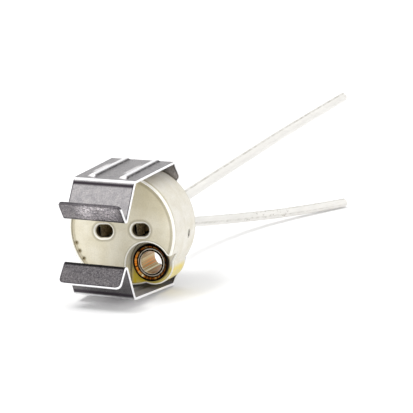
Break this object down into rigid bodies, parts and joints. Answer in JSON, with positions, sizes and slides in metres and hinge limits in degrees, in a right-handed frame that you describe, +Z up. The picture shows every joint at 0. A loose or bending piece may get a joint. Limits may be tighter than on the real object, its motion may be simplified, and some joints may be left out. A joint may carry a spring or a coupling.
{
  "type": "bi-pin lamp holder",
  "caption": "Ceramic holder for a bi-pin reflector lamp, with a bent spring clip that grips the lamp, eyelets for screws and white leads from the back.",
  "frame": {"origin": "middle of the ceramic's front face, between the two pin slots", "axes": "-Y points out of the face towards the lamp, +Y to the rear where the leads leave, +Z up through the clip's upper panel, +X to the right seen from the lamp"},
  "size_m": [0.0192, 0.0884, 0.0211],
  "materials": {
    "ceramic": "unglazed, fine matte",
    "spring_steel": "rolled, dull grey",
    "eyelet_brass": "drawn, lightly tarnished",
    "contact_nickel": "nickel strip, heat tinted",
    "backing_steel": "spring strip, bare",
    "insulator_plate": "pressed mica",
    "conductor": "plated stranded copper",
    "lead_insulation": "smooth, waxy white"
  },
  "bodies": {
    "root": {"ceramic_body": "ceramic", "retaining_clip": "spring_steel", "eyelet_lower": "eyelet_brass", "eyelet_upper": "eyelet_brass", "contact_left": "contact_nickel", "contact_right": "contact_nickel", "backing_spring_left": "backing_steel", "backing_spring_right": "backing_steel", "rear_insulator": "insulator_plate", "conductor_lower": "conductor", "conductor_upper": "conductor", "lead_lower": "lead_insulation", "lead_upper": "lead_insulation"}
  },
  "joints": []
}
